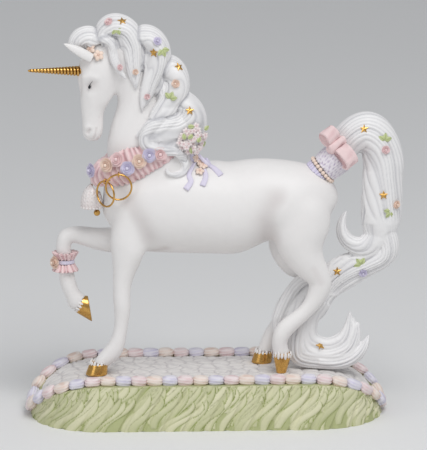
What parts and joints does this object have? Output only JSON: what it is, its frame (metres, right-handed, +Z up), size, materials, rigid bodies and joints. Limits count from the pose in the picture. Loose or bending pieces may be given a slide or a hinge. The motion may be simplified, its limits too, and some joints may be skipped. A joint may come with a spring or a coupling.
{
  "type": "unicorn figurine",
  "caption": "Porcelain unicorn with gilded horn and hooves, floral collar, bell and linked rings, standing with one foreleg raised on a grass mound with a cobbled path.",
  "frame": {"origin": "middle of the flat underside of the mound", "axes": "+Z up, -X the way the unicorn faces, -Y its left (near) side"},
  "size_m": [0.2207, 0.095, 0.2376],
  "materials": {
    "bisque": "matte bisque",
    "hair": "matte bisque with carved strands",
    "gilding": "burnished gold over porcelain",
    "gold_wire": "polished gold-coloured wire",
    "pearl_white": "soft pearl glaze",
    "pink": "matte painted bisque",
    "peach": "matte painted bisque",
    "lavender": "matte painted bisque",
    "leaf_green": "matte painted bisque",
    "grass": "matte painted, carved blades",
    "cobbles": "matte painted, stamped cobbles"
  },
  "bodies": {
    "figure": {"torso": "bisque", "neck": "bisque", "head": "bisque", "near_ear": "bisque", "far_ear": "bisque", "near_foreleg": "bisque", "raised_foreleg": "bisque", "near_hind_leg": "bisque", "far_hind_leg": "bisque", "forelock": "hair", "poll_lock": "hair", "upper_crest_lock": "hair", "middle_crest_lock": "hair", "lower_crest_lock": "hair", "side_strand": "hair", "far_mane": "hair", "tail_arch": "hair", "tail_fall": "hair", "tail_sweep": "hair", "tail_curl": "hair", "tail_fan": "hair", "tail_tip": "hair", "horn": "gilding", "near_fore_hoof": "gilding", "raised_hoof": "gilding", "near_hind_hoof": "gilding", "far_hind_hoof": "gilding", "gold_stars": "gilding", "clapper": "gold_wire", "side_eye": "gold_wire", "front_eye": "gold_wire", "bell": "pearl_white", "border_stones_pink": "pink", "collar_ruffle": "pink", "collar_roses_pink": "pink", "garter_ruffles": "pink", "bow_knot": "pink", "bow_loops": "pink", "tail_lace": "pink", "bouquet_blossoms": "pink", "rosebuds_pink": "pink", "border_stones_peach": "peach", "collar_roses_peach": "peach", "garter_rose": "peach", "tail_pearls": "peach", "rosebuds_peach": "peach", "temple_blossoms": "peach", "border_stones_lavender": "lavender", "collar_roses_lavender": "lavender", "garter_band": "lavender", "tail_ribbon": "lavender", "bouquet_ribbon": "lavender", "rosebuds_lavender": "lavender", "bouquet_leaves": "leaf_green", "rosebud_leaves": "leaf_green", "grass_mound": "grass", "cobble_path": "cobbles"},
    "linked_rings": {"side_ring": "gold_wire", "front_ring": "gold_wire"}
  },
  "joints": [
    {"name": "rings_swing", "type": "hinge", "parent": "figure", "child": "linked_rings", "pos_m": [-0.0512, -0.0212, 0.1466], "axis": [-0.7849, 0.3768, -0.4919], "range_deg": [0, 40]}
  ]
}
